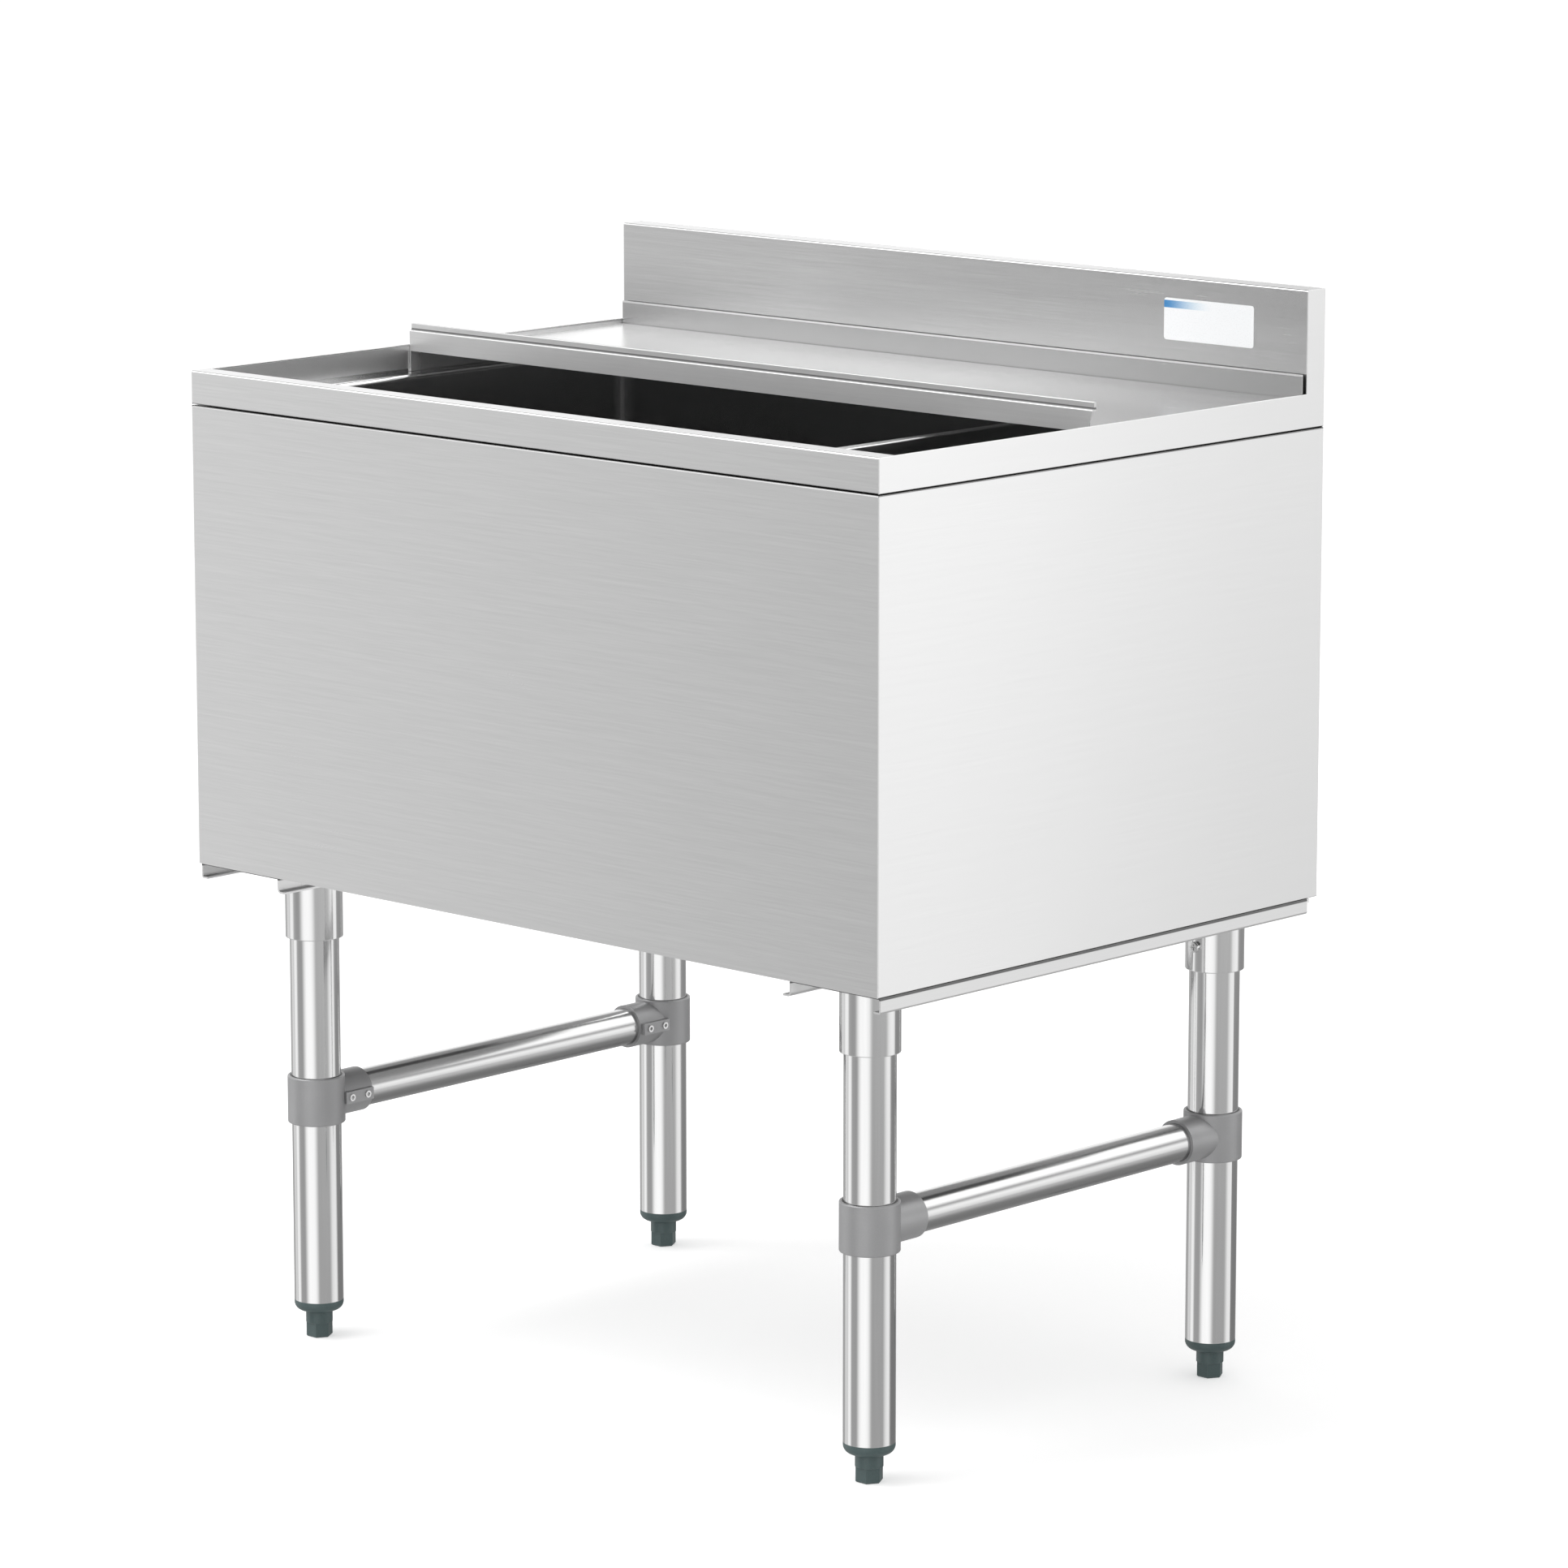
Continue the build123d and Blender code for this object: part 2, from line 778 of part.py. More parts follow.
def foot(x, y):
    # hex to turn it by, round neck and the stem that screws into the insert
    with BuildPart() as levelling_foot:
        with BuildSketch():
            with Locations((x, y)):
                RegularPolygon(foot_hex_flats / 2, 6, major_radius=False)
        extrude(amount=foot_hex_height)
        base = levelling_foot.faces().filter_by(Plane.XY).sort_by(Axis.Z)[0]
        chamfer(base.edges(), length=foot_chamfer)
        with BuildSketch(Plane.XY.offset(foot_hex_height)):
            with Locations((x, y)):
                Circle(foot_neck_radius)
        extrude(amount=foot_neck_height)
        shoulder = levelling_foot.faces().filter_by(Plane.XY).sort_by(Axis.Z)[-1]
        fillet(shoulder.edges(), radius=foot_neck_round)
        with BuildSketch(Plane.XY.offset(z_neck_top)):
            with Locations((x, y)):
                Circle(foot_stem_radius)
        extrude(amount=foot_stem_length)
        tip = levelling_foot.faces().filter_by(Plane.XY).sort_by(Axis.Z)[-1]
        chamfer(tip.edges(), length=foot_chamfer)
    return levelling_foot.part


socket_screws = []
set_screws = []
for corner, (x, y) in corners.items():
    side = 1 if x > 0 else -1
    facing = 1 if y < 0 else -1
    save(f"{corner}_leg_socket", leg_socket(x, y, side, facing))
    save(f"{corner}_leg", leg(x, y, facing))
    save(f"{corner}_tee", tee(x, y, side, facing))
    save(f"{corner}_foot_insert", foot_insert(x, y))
    save(f"{corner}_foot", foot(x, y))
    socket_screws.append(socket_screw(x, y, facing))
    set_screws.append(keyed_tee_screws(x, y, side, facing))
save("socket_screws", Compound(children=socket_screws))
save("tee_set_screws", Compound(children=set_screws))

# Side rails between the tees of each side
y_rail_start = corners["front_left"][1] + tee_reach - tee_socket_depth
y_rail_end = corners["rear_left"][1] - tee_reach + tee_socket_depth
for side_name, side in sides.items():
    with BuildPart() as side_rail:
        with BuildSketch(Plane.XZ.offset(-y_rail_start)):
            with Locations((side * (x_side - leg_inset), rail_height)):
                Circle(rail_radius)
                Circle(rail_radius - rail_wall, mode=Mode.SUBTRACT)
        extrude(amount=y_rail_start - y_rail_end)
    save(f"{side_name}_side_rail", side_rail.part)
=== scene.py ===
import json
import math

import bmesh
import bpy
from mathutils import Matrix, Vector


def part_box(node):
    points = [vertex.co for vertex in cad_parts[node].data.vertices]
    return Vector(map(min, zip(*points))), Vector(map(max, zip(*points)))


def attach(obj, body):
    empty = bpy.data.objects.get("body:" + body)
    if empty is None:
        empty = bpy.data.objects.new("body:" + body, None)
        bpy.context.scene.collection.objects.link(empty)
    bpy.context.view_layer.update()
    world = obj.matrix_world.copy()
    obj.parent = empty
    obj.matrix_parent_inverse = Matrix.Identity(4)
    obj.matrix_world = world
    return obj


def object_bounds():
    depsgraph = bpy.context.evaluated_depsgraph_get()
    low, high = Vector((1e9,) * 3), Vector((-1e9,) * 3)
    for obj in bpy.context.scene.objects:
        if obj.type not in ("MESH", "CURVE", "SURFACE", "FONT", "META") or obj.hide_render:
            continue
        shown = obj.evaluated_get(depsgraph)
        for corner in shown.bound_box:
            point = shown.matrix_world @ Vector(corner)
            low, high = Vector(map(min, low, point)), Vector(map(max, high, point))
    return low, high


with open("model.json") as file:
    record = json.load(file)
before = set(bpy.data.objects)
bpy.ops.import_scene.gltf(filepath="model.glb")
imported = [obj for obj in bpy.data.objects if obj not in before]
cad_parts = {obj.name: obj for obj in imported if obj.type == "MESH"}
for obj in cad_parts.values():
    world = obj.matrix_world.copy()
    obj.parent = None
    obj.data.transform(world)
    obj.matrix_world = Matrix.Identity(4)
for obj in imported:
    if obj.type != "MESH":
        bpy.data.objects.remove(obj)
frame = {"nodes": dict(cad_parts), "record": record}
cadLow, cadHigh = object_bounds()
slotOf = {part["node"]: part["material_slot"] for part in frame["record"]["subparts"]}
print("frame loaded:", len(frame["nodes"]), "pieces")

# Places on the object that the finishes follow
frontLeg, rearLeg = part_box("front_left_leg"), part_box("rear_right_leg")
legRadius = (frontLeg[1][0] - frontLeg[0][0]) / 2
legMiddle = [(frontLeg[0][axis] + rearLeg[1][axis]) / 2 for axis in range(3)]
legReach = [(rearLeg[0][axis] - frontLeg[0][axis]) / 2 for axis in range(3)]
railLow, railHigh = (corner[2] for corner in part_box("left_side_rail"))
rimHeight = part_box("front_rim")[1][2]
lidFront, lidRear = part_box("lid")[0][1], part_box("lid")[1][1]
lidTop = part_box("lid")[1][2]
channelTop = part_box("right_leg_channel")[1][2]
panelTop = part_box("front_panel")[1][2]


# Shader sockets that take part in Python sums
class Wire:
    def __init__(self, tree, socket):
        self.tree = tree
        self.socket = socket

    def node(self, kind, settings=None, sockets=None, output=0):
        made = self.tree.nodes.new(kind)
        for name, value in (settings or {}).items():
            setattr(made, name, value)
        for name, value in (sockets or {}).items():
            if isinstance(value, Wire):
                self.tree.links.new(value.socket, made.inputs[name])
            else:
                made.inputs[name].default_value = value
        return Wire(self.tree, made.outputs[output] if made.outputs else None)

    def math(self, operation, *values):
        return self.node("ShaderNodeMath", {"operation": operation}, dict(enumerate(values)))

    def __add__(self, other):
        return self.math("ADD", self, other)

    def __sub__(self, other):
        return self.math("SUBTRACT", self, other)

    def __rsub__(self, other):
        return self.math("SUBTRACT", other, self)

    def __mul__(self, other):
        return self.math("MULTIPLY", self, other)

    __radd__ = __add__
    __rmul__ = __mul__

    def vector(self, operation, other=None, output=0):
        sockets = {0: self} if other is None else {0: self, 1: other}
        return self.node("ShaderNodeVectorMath", {"operation": operation}, sockets, output)

    def stretched(self, scale):
        return self.vector("MULTIPLY", scale)

    def along(self, axis):
        return self.node("ShaderNodeSeparateXYZ", None, {0: self}, output=axis)

    def ramp(self, low, high):
        # 0 at low and 1 at high, eased at both ends; low may be the larger of the two
        return self.node("ShaderNodeMapRange", {"interpolation_type": "SMOOTHSTEP"},
                         {"Value": self, "From Min": low, "From Max": high})

    def blend(self, first, second):
        # from the first colour to the second as this goes from 0 to 1
        return self.node("ShaderNodeMix", {"data_type": "RGBA"},
                         {"Factor": self, 6: first, 7: second}, output=2)

    def noise(self, scale, detail=2, rough=0.5):
        return self.node("ShaderNodeTexNoise", {"noise_dimensions": "3D"},
                         {"Vector": self, "Scale": scale, "Detail": detail, "Roughness": rough})

    def within(self, spans):
        # 1 where every span is full: each is (axis, where it starts, where it is full and stays so)
        share = 1
        for axis, start, full in spans:
            share = self.along(axis).ramp(start, full) * share
        return share

    def byLeg(self, start, full):
        # 1 close round each of the four legs, by the distance from the leg's middle
        corner = self.vector("SUBTRACT", legMiddle).vector("ABSOLUTE").vector("SUBTRACT", legReach)
        return corner.stretched((1, 1, 0)).vector("LENGTH", None, "Value").ramp(start, full)

    def wearAndHighlight(self, reach, samples=8, faint=0.98, full=0.8):
        # 1 on edges and bends that turn within reach, 0 on the flat; faint and full are cosines of the turn
        rounded = self.node("ShaderNodeBevel", {"samples": samples}, {"Radius": reach})
        facing = self.node("ShaderNodeNewGeometry", output="Normal")
        return rounded.vector("DOT_PRODUCT", facing, "Value").ramp(faint, full)


noiseMiddle = 0.5  # what a noise is on average
drawnOut = 0.02  # a grain's scale along its own axis
alongX, alongY, alongZ = (drawnOut, 1, 1), (1, drawnOut, 1), (1, 1, drawnOut)
evenly = (1, 1, 1)


def grey(value):
    return (value, value, value, 1)


def newMaterial(name):
    material = bpy.data.materials.new(name)
    material.use_nodes = True
    material.node_tree.nodes.clear()
    place = Wire(material.node_tree, None).node("ShaderNodeTexCoord", output="Object")
    return material, place


def finishMaterial(material, place, steady, varying, bump):
    # steady values go straight on the shader, varying ones are wires, bump is (height, distance)
    height, distance = bump
    normal = place.node("ShaderNodeBump", None, {"Height": height, "Distance": distance, "Strength": 1.0})
    shader = place.node("ShaderNodeBsdfPrincipled", None, {**steady, **varying, "Normal": normal})
    place.node("ShaderNodeOutputMaterial", None, {"Surface": shader})
    return material


def zone(*spans, darker=0, rougher=0):
    return spans, darker, rougher


def zoned(place, level, rough, zones):
    # each zone takes its share off the level and adds to the roughness
    for spans, darker, rougher in zones:
        inside = place.within(spans)
        level = level * (1 - inside * darker)
        rough = rough + inside * rougher
    return level, rough


# Brushed sheet: fine straight scratches along one axis, softer streaks under them, faint wiping marks
def brushedSheet(name, grain, look):
    material, place = newMaterial(name)
    scratch = place.stretched(grain).noise(look["scratchScale"], detail=3, rough=0.7)
    streak = place.stretched(grain).noise(look["streakScale"], detail=1)
    wiped = place.noise(look["wipeScale"], detail=3, rough=0.6).ramp(*look["wipeSpan"])
    brushed = scratch * (1 - look["streakShare"]) + streak * look["streakShare"]
    level = look["tone"] + (brushed - noiseMiddle) * look["contrast"]
    rough = look["roughness"] + (brushed - noiseMiddle) * look["roughSpread"] + wiped * look["wipeRough"]
    level, rough = zoned(place, level, rough, look["zones"])
    # Edges and bends made paler: a painted highlight, in patches like rubbed wear
    edge = place.wearAndHighlight(look["edgeReach"]) * (1 - look["edgePatches"] + wiped * look["edgePatches"])
    level = level + (1 - level) * edge * look["edgeHighlight"]
    return finishMaterial(material, place, {"Metallic": look["metallic"]},
                          {"Base Color": level.blend(grey(0), grey(1)), "Roughness": rough},
                          (streak, look["depth"]))


shellLook = {"tone": 0.7, "contrast": 0.16, "roughness": 0.26, "roughSpread": 0.04, "wipeRough": 0.01,
             "scratchScale": 800, "streakScale": 330, "streakShare": 0.3, "wipeScale": 7,
             "wipeSpan": (0.42, 0.75), "depth": 0.000001, "edgeReach": 0.0009, "edgeHighlight": 0.18,
             "edgePatches": 0.4, "metallic": 1.0, "zones": []}

# The shell, with a dark line of painted shade in the seam under its top band
seamShade = zone(("Z", panelTop - 0.0012, panelTop - 0.0006), ("Z", panelTop + 0.0006, panelTop + 0.0002),
            darker=0.72, rougher=0.1)
acrossLook = dict(shellLook, zones=[seamShade])
# The sides: the shell's steel in a paler tone as painted light, with painted shade darkening it towards the
# back
shadeTowardsBack = zone(("Y", cadLow[1], cadHigh[1]), darker=0.12)
sideLook = dict(shellLook, tone=0.85, contrast=0.07, zones=[shadeTowardsBack, seamShade])

# The backsplash: the shell's steel in a darker tone as painted shade, with painted shade at its foot, a
# painted highlight on its top edge at the left and painted shade on it towards the right
splashFootShade = ("Z", rimHeight + 0.06, rimHeight + 0.015)
splashTopLightAndShade = ("Z", cadHigh[2] - 0.0007, cadHigh[2] - 0.0003)
splashLook = dict(shellLook, tone=0.6, zones=[
    zone(splashFootShade, darker=0.14),
    zone(splashTopLightAndShade, darker=-0.1),
    zone(splashTopLightAndShade, ("X", 0.05, cadHigh[0]), darker=0.45)])

# The lid: the steel in a pale tone as painted light, two upright flanges in painted shade, a painted shade
# line along the front flange's joggle and a painted highlight along the rear flange's hem, and between them
# the pale deck with painted shade to the right and to the front left
frontFlange = ("Y", lidFront + 0.012, lidFront + 0.008)
joggleShadeLine = [("Z", lidTop - 0.0061, lidTop - 0.0057), ("Z", lidTop - 0.004, lidTop - 0.0046)]
rearFlange = ("Y", lidRear - 0.004, lidRear - 0.003)
rearHemHighlight = ("Z", lidTop - 0.0041, lidTop - 0.0037)
deck = [("Y", lidFront + 0.008, lidFront + 0.012), ("Y", lidRear - 0.003, lidRear - 0.004)]
lidLook = dict(shellLook, tone=0.97, metallic=0.75, zones=[
    zone(frontFlange, darker=0.29, rougher=0.14),
    zone(frontFlange, *joggleShadeLine, darker=0.75, rougher=0.1),
    zone(rearFlange, darker=0.61),
    zone(rearFlange, rearHemHighlight, darker=-0.8, rougher=0.1),
    zone(*deck, ("X", 0.06, cadHigh[0]), darker=0.42),
    zone(*deck, ("X", -0.1, -0.3), ("Y", 0.22, 0.05), darker=0.28)])

# The liner: painted shade darker down the well, painted light paler from the lid's ledge up, duller on the
# recess walls
ledgeUpLight = ("Z", rimHeight - 0.026, rimHeight - 0.024)
downWellShade = ("Z", rimHeight - 0.024, rimHeight - 0.054)
recessWalls = ("Z", rimHeight - 0.0215, rimHeight - 0.0195)
linerLook = dict(shellLook, tone=0.74, roughness=0.17, streakScale=90, zones=[
    zone(ledgeUpLight, darker=-0.34),
    zone(downWellShade, darker=0.15),
    zone(recessWalls, rougher=0.2)])

dividerLook = dict(shellLook, tone=0.78)

# The leg channels, with a dark line of painted shade where they meet the body
channelSeamShade = zone(("Z", channelTop - 0.0028, channelTop - 0.002), darker=0.8, rougher=0.1)
channelLook = dict(sideLook, tone=0.78, roughness=0.3, edgeHighlight=0.12, zones=[channelSeamShade])


# Polished tube: almost a mirror, with faint drawn lines along it
def polishedTube(name, grain, look):
    material, place = newMaterial(name)
    drawn = place.stretched(grain).noise(look["lineScale"])
    smudge = place.noise(look["smudgeScale"], detail=3, rough=0.6).ramp(*look["smudgeSpan"])
    level = look["tone"] + (drawn.ramp(*look["lineSpan"]) - 1) * look["contrast"]
    edge = place.wearAndHighlight(look["edgeReach"])
    rough = look["roughness"] + smudge * look["smudgeRough"] + edge * look["edgeRough"]
    level, rough = zoned(place, level, rough, look["zones"])
    return finishMaterial(material, place, {"Metallic": 1.0},
                          {"Base Color": level.blend(grey(0), grey(1)), "Roughness": rough},
                          (drawn, look["depth"]))


tubeLook = {"tone": 0.79, "contrast": 0.02, "roughness": 0.105, "lineScale": 500, "lineSpan": (0.3, 0.7),
            "smudgeScale": 14, "smudgeSpan": (0.45, 0.8), "smudgeRough": 0.03, "edgeReach": 0.0008,
            "edgeRough": 0.15, "depth": 0.0000005, "zones": []}

# The side rails, with painted shade underneath from a little over half their height down
railUnderShade = ("Z", railLow * 0.415 + railHigh * 0.585, railLow * 0.805 + railHigh * 0.195)
railLook = dict(tubeLook, tone=0.64, roughness=0.2, zones=[zone(railUnderShade, darker=0.58)])

screwLook = dict(tubeLook, tone=0.72, roughness=0.2)
drainLook = dict(tubeLook, tone=0.7, roughness=0.14)


# Grained skin of castings, plastic, rubber and foam: fine sand and soft clouds between two colours
def grainedSkin(name, look):
    material, place = newMaterial(name)
    sand = place.noise(look["sandScale"], detail=3, rough=0.6)
    cloud = place.noise(look["cloudScale"]).ramp(*skin["cloudSpan"])
    mixed = sand.ramp(*skin["sandSpan"]) * (1 - skin["cloudShare"]) + cloud * skin["cloudShare"]
    colour = mixed.blend(look["dark"], look["light"])
    # painted shade: a dark ring round each leg where it enters its tee
    if "jointShade" in look:
        colour = place.byLeg(*look["jointShade"]).blend(colour, skin["jointShadeTone"])
    colour = (place.wearAndHighlight(look["edgeReach"]) * look["edgePale"]).blend(colour, skin["wornTone"])
    rough = look["roughness"] + (sand - noiseMiddle) * look["roughSpread"]
    return finishMaterial(material, place, {"Metallic": look["metallic"]},
                          {"Base Color": colour, "Roughness": rough}, (sand, look["depth"]))


skin = {"sandSpan": (0.3, 0.7), "cloudSpan": (0.35, 0.7), "cloudShare": 0.5,
        "jointShadeTone": grey(0.02), "wornTone": grey(0.7)}
castLook = {"dark": (0.36, 0.36, 0.365, 1), "light": (0.41, 0.41, 0.415, 1), "metallic": 0.45,
            "roughness": 0.42, "roughSpread": 0.12, "sandScale": 1400, "cloudScale": 30, "depth": 0.00004,
            "edgeReach": 0.0008, "edgePale": 0.2,
            "jointShade": (legRadius + 0.0015, legRadius + 0.0009)}  # dark ring of painted shade where a leg enters its tee
plasticLook = {"dark": (0.065, 0.1, 0.1, 1), "light": (0.085, 0.125, 0.125, 1), "metallic": 0.0,
               "roughness": 0.38, "roughSpread": 0.1, "sandScale": 900, "cloudScale": 40, "depth": 0.00003,
               "edgeReach": 0.0008, "edgePale": 0.08}
rubberLook = {"dark": (0.018, 0.018, 0.018, 1), "light": (0.035, 0.035, 0.035, 1), "metallic": 0.0,
              "roughness": 0.65, "roughSpread": 0.15, "sandScale": 700, "cloudScale": 60, "depth": 0.00005,
              "edgeReach": 0.0005, "edgePale": 0.04}
foamLook = {"dark": (0.72, 0.66, 0.5, 1), "light": (0.85, 0.8, 0.66, 1), "metallic": 0.0,
            "roughness": 0.85, "roughSpread": 0.1, "sandScale": 500, "cloudScale": 20, "depth": 0.0002,
            "edgeReach": 0.002, "edgePale": 0.2}

# Which finish each piece takes, by its material slot or by its own name
sideSteel = brushedSheet("brushedSteelDeep", alongY, sideLook)
railSteel = polishedTube("polishedTubeLevel", alongY, railLook)
finishOf = {"shell_steel": brushedSheet("brushedSteelAcross", alongX, acrossLook),
            "lid_steel": brushedSheet("lidSteel", alongX, lidLook),
            "liner_steel": brushedSheet("linerSteel", alongX, linerLook),
            "channel_steel": brushedSheet("channelSteel", alongY, channelLook),
            "tube_steel": polishedTube("polishedTubeUpright", alongZ, tubeLook),
            "screw_steel": polishedTube("screwSteel", evenly, screwLook),
            "drain_chrome": polishedTube("drainChrome", evenly, drainLook),
            "cast_fitting": grainedSkin("castFittingGrey", castLook),
            "foot_plastic": grainedSkin("footPlastic", plasticLook),
            "seal_rubber": grainedSkin("gasketRubber", rubberLook),
            "foam": grainedSkin("foamCore", foamLook)}
finishOfNode = {"divider": brushedSheet("dividerSteel", alongY, dividerLook),
                "backsplash": brushedSheet("splashSteel", alongX, splashLook)}
for side in ("left", "right"):
    finishOfNode[side + "_side_panel"] = sideSteel
    finishOfNode[side + "_end_cap"] = sideSteel
    finishOfNode[side + "_side_rail"] = railSteel
for name, node in frame["nodes"].items():
    finish = finishOfNode.get(name, finishOf[slotOf[name]])
    if not node.material_slots:
        node.data.materials.append(finish)
    for slot in node.material_slots:
        slot.material = finish
print("finishes given to", len(frame["nodes"]), "pieces")


# Label on the backsplash: white film with a blue stripe that fades out
label = {"middle": (0.2792, 0.865), "width": 0.0935, "height": 0.034, "thick": 0.0003,
         "corner": 0.0025, "cornerSteps": 6, "rim": 0.0001, "rimSteps": 2,
         "white": (0.93, 0.94, 0.95, 1), "blue": (0.05, 0.25, 0.55, 1), "paleBlue": (0.3, 0.62, 0.8, 1),
         "stripeDrop": 0.002, "stripeHeight": 0.0058, "stripeLength": 0.052, "stripeBlur": 0.0002,
         "roughness": 0.28, "roughSpread": 0.08, "paperScale": 900, "depth": 0.000004}


def labelFilm():
    material, place = newMaterial("labelFilm")
    left = label["middle"][0] - label["width"] / 2
    top = label["middle"][1] + label["height"] / 2 - label["stripeDrop"]
    bottom, blur = top - label["stripeHeight"], label["stripeBlur"]
    faded = place.along("X").ramp(left, left + label["stripeLength"])
    inStripe = place.within([("Z", bottom - blur, bottom), ("Z", top + blur, top)])
    stripe = faded.blend(label["blue"], label["paleBlue"])
    colour = (inStripe * (1 - faded)).blend(label["white"], stripe)
    paper = place.noise(label["paperScale"])
    rough = label["roughness"] + (paper - noiseMiddle) * label["roughSpread"]
    return finishMaterial(material, place, {"Metallic": 0.0}, {"Base Color": colour, "Roughness": rough},
                          (paper, label["depth"]))


def pickEdges(piece, wanted):
    # opens the piece and selects the edges whose two ends pass the test
    bpy.context.view_layer.objects.active = piece
    bpy.ops.object.mode_set(mode="EDIT")
    bpy.ops.mesh.select_mode(type="EDGE")
    bpy.ops.mesh.select_all(action="DESELECT")
    mesh = bmesh.from_edit_mesh(piece.data)
    for edge in mesh.edges:
        edge.select_set(wanted(*(corner.co for corner in edge.verts)))
    bmesh.update_edit_mesh(piece.data)


def makeLabel():
    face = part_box("backsplash")[0][1]
    half = label["thick"] / 2
    x, z = label["middle"]
    bpy.ops.object.select_all(action="DESELECT")
    bpy.ops.mesh.primitive_cube_add(size=1, location=(x, face - half, z),
                                    scale=(label["width"], label["thick"], label["height"]))
    film = bpy.context.object
    film.name = "backsplash_label"
    bpy.ops.object.transform_apply(location=True, rotation=True, scale=True)
    pickEdges(film, lambda a, b: abs(a.y - b.y) > half)  # the four corners
    bpy.ops.mesh.bevel(offset=label["corner"], segments=label["cornerSteps"], affect="EDGES")
    pickEdges(film, lambda a, b: max(a.y, b.y) < face - half)  # the outline of the front face
    bpy.ops.mesh.bevel(offset=label["rim"], segments=label["rimSteps"], affect="EDGES")
    bpy.ops.object.mode_set(mode="OBJECT")
    film.data.materials.append(labelFilm())
    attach(film, "cabinet")


makeLabel()
print("label on the backsplash")


# Studio: white to the eye, with rings of soft boxes and grey gaps for the metal to show.
# A box is (turn from the camera's side, half width, softness, level), with its angles in degrees.
# An edge is the height of the view direction where one ring or tone starts and where it is full.
studio = {
    "plain": 0.8,
    "cameraSide": 43,
    "lowGrey": 0.41,
    "lowBoxes": [(-25, 18, 18, 1.24), (-99, 4, 11.5, 1.1), (-122.5, 8.5, 7.5, 0.8), (92, 16, 18, 1.0),
                 (129.5, 26, 4, 0.21)],
    "highGrey": 1.0,
    "highBoxes": [(66, 47, 32, 1.5), (179, 41, 21, 1.26), (-61.5, 12, 13.5, 0.2)],
    "highEdge": (-0.29, 0.1),
    "upperGrey": 0.38,
    "upperBoxes": [(113, 24, 8, 1.8), (-86, 45, 20, 1.5)],
    "upperEdge": (0.34, 0.5),
    "gapBoxes": [(95, 22, 12, 0.7), (-96, 8, 9, -1.0)],  # the share that a band of the ring is darker
    "gapBand": (0.06, 0.27, 0.42),
    "floorTone": 0.55,
    "floorEdge": (-0.25, -0.75),
}


def ringLight(compass, level, boxes):
    for turn, half, soft, bright in boxes:
        angle = math.radians(turn + studio["cameraSide"])
        facing = compass.vector("DOT_PRODUCT", (math.sin(angle), -math.cos(angle), 0), "Value")
        edge = math.cos(math.radians(min(half + soft, 180)))
        inside = math.cos(math.radians(max(half - soft, 0)))
        level = (bright - level) * facing.ramp(edge, inside) + level
    return level


def makeWorld():
    world = bpy.data.worlds.new("studioLight")
    world.use_nodes = True
    world.node_tree.nodes.clear()
    direction = Wire(world.node_tree, None).node("ShaderNodeTexCoord", output="Generated")
    compass = direction.stretched((1, 1, 0)).vector("NORMALIZE")
    height = direction.along("Z")
    low, high, upper = (ringLight(compass, studio[ring + "Grey"], studio[ring + "Boxes"])
                        for ring in ("low", "high", "upper"))
    shown = low + (high - low) * height.ramp(*studio["highEdge"])
    bandLow, bandMiddle, bandHigh = studio["gapBand"]
    band = height.ramp(bandLow, bandMiddle) * (1 - height.ramp(bandMiddle, bandHigh))
    shown = shown * (1 - band * ringLight(compass, 0, studio["gapBoxes"]))
    shown = shown + (upper - shown) * height.ramp(*studio["upperEdge"])
    shown = shown + (studio["floorTone"] - shown) * height.ramp(*studio["floorEdge"])
    camera, through, glossy = (direction.node("ShaderNodeLightPath", output="Is " + ray + " Ray")
                               for ray in ("Camera", "Transmission", "Glossy"))
    lit = glossy.blend(grey(studio["plain"]), shown)
    colour = camera.math("MAXIMUM", camera, through).blend(lit, grey(1))
    light = direction.node("ShaderNodeBackground", None, {"Color": colour, "Strength": 1.0})
    direction.node("ShaderNodeOutputWorld", None, {"Surface": light})
    bpy.context.scene.world = world


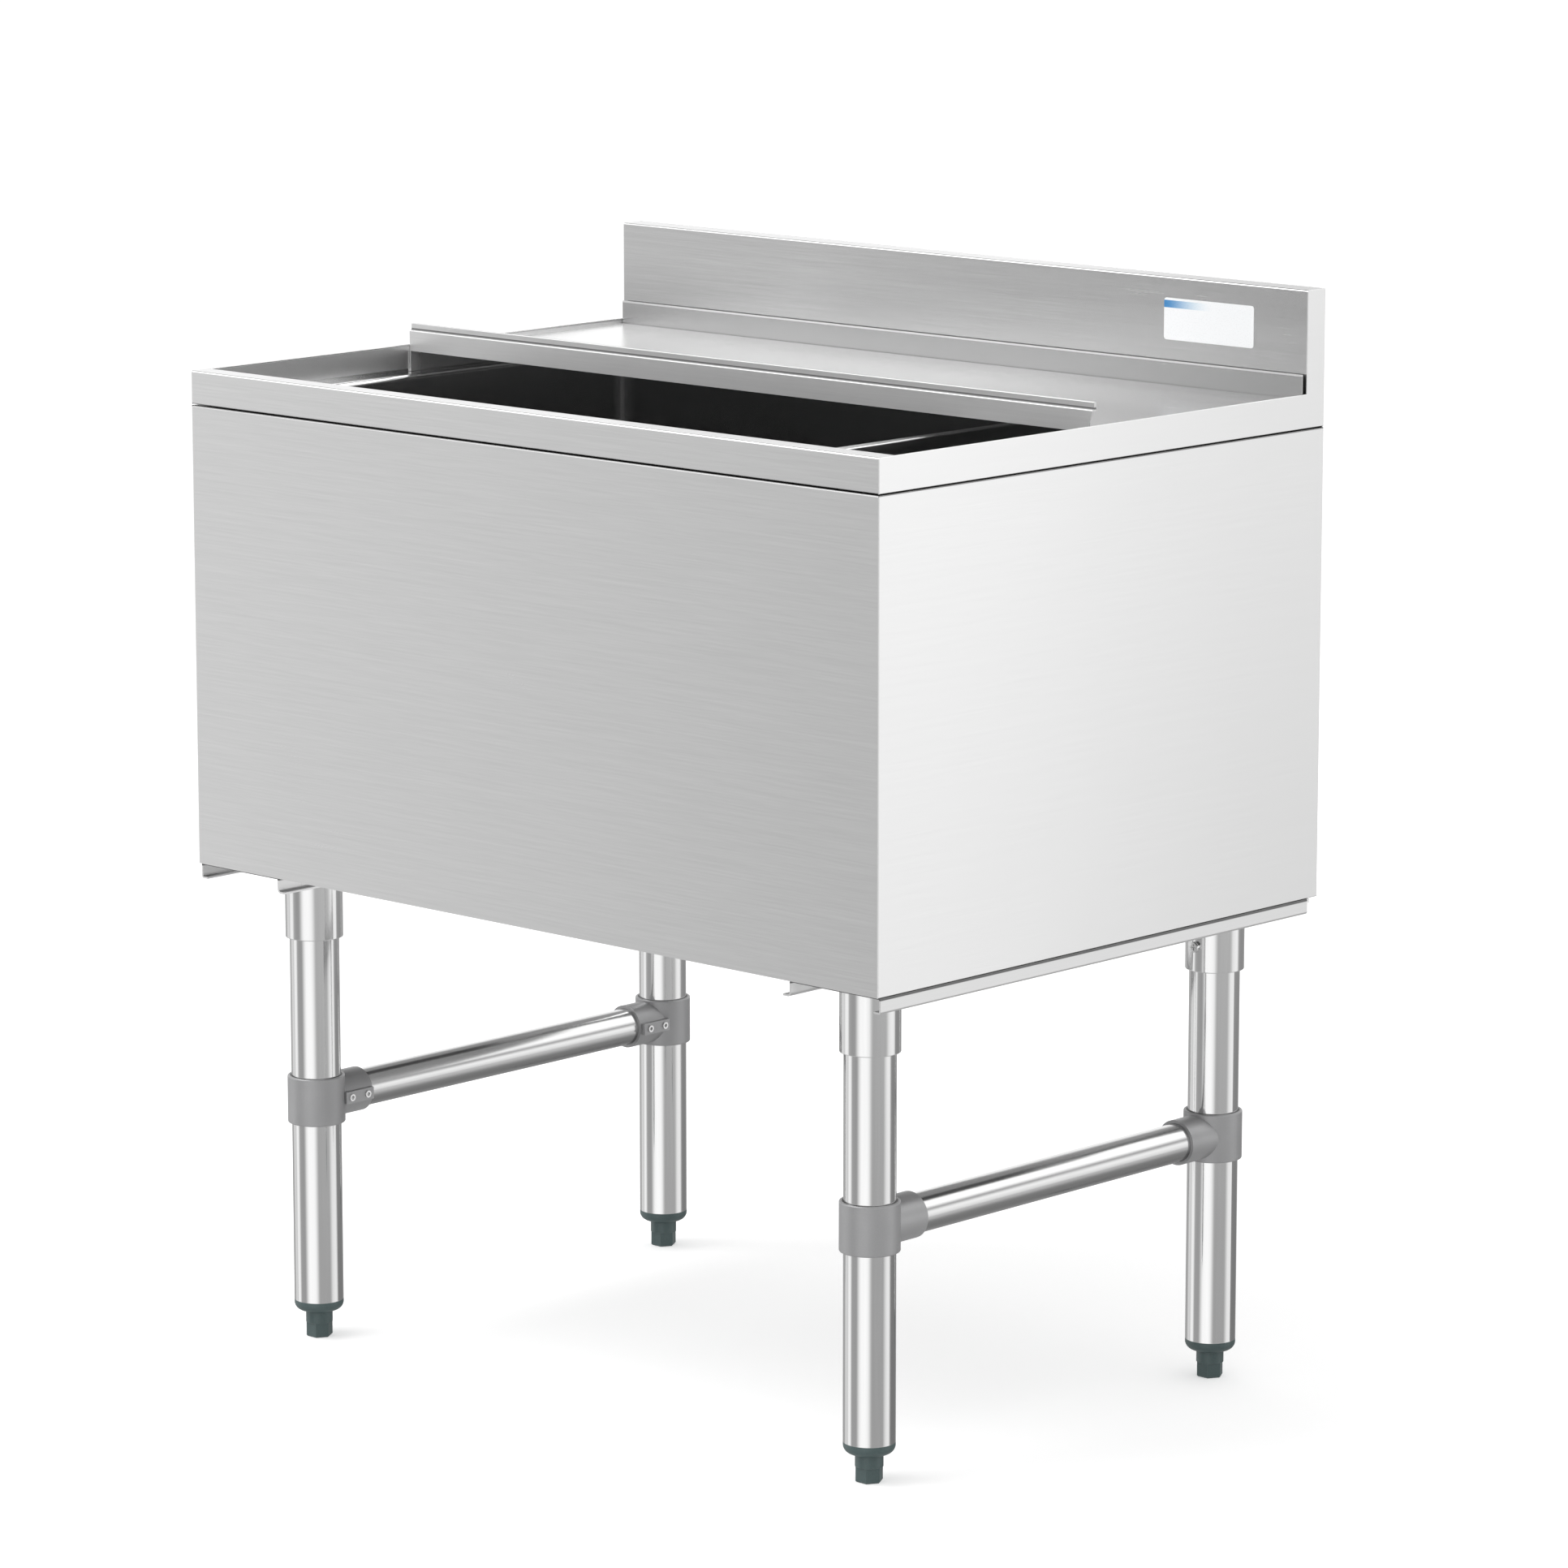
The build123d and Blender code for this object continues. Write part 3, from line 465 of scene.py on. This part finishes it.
def makeFloor():
    # white to the eye, keeps the object's shadow, and is clear to glossy rays
    settings = {"size": 30, "tone": 0.8, "glow": 0.45}
    bpy.ops.object.select_all(action="DESELECT")
    bpy.ops.mesh.primitive_plane_add(size=settings["size"], location=(0, 0, 0))
    floor = bpy.context.object
    floor.name = "studioFloor"
    material = bpy.data.materials.new("floorWhite")
    material.use_nodes = True
    material.node_tree.nodes.clear()
    start = Wire(material.node_tree, None)
    paint = start.node("ShaderNodeBsdfDiffuse", None, {"Color": grey(settings["tone"])})
    glow = start.node("ShaderNodeEmission", None, {"Color": grey(settings["glow"]), "Strength": 1.0})
    both = start.node("ShaderNodeAddShader", None, {0: paint, 1: glow})
    camera = start.node("ShaderNodeLightPath", output="Is Camera Ray")
    glossy = start.node("ShaderNodeLightPath", output="Is Glossy Ray")
    clear = start.node("ShaderNodeBsdfTransparent")
    seen = start.node("ShaderNodeMixShader", None, {0: camera, 1: paint, 2: both})
    surface = start.node("ShaderNodeMixShader", None, {0: glossy, 1: seen, 2: clear})
    start.node("ShaderNodeOutputMaterial", None, {"Surface": surface})
    floor.data.materials.append(material)


def makeLamp():
    settings = {"place": (-1.2, -1.6, 3.2), "aim": (0, 0, 0.5), "size": 2.5, "power": 60}
    data = bpy.data.lights.new("overheadSoftbox", "AREA")
    data.size = settings["size"]
    data.energy = settings["power"]
    lamp = bpy.data.objects.new("overheadSoftbox", data)
    lamp.location = settings["place"]
    aim = Vector(settings["aim"]) - lamp.location
    lamp.rotation_euler = aim.to_track_quat("-Z", "Y").to_euler()
    bpy.context.scene.collection.objects.link(lamp)


def makeCamera():
    settings = {"azimuth": 43.149, "pitch": 10.664, "distance": 5.4996, "side": 0.027, "height": 0.4845,
                "focalPixels": 8290.7, "framePixels": 1932, "sensor": 36, "clipEnd": 50}
    azimuth, pitch = math.radians(settings["azimuth"]), math.radians(settings["pitch"])
    back = Vector((math.sin(azimuth) * math.cos(pitch), -math.cos(azimuth) * math.cos(pitch),
                   math.sin(pitch)))
    target = Vector((math.cos(azimuth), math.sin(azimuth), 0)) * settings["side"]
    target.z = settings["height"]
    data = bpy.data.cameras.new("camera")
    data.sensor_width = settings["sensor"]
    data.lens = settings["focalPixels"] * settings["sensor"] / settings["framePixels"]
    data.clip_end = settings["clipEnd"]
    camera = bpy.data.objects.new("camera", data)
    camera.location = target + back * settings["distance"]
    camera.rotation_euler = (-back).to_track_quat("-Z", "Y").to_euler()
    bpy.context.scene.collection.objects.link(camera)
    bpy.context.scene.camera = camera


makeWorld()
makeFloor()
makeLamp()
makeCamera()
bpy.context.scene.view_settings.view_transform = "Standard"
print("studio and camera set")
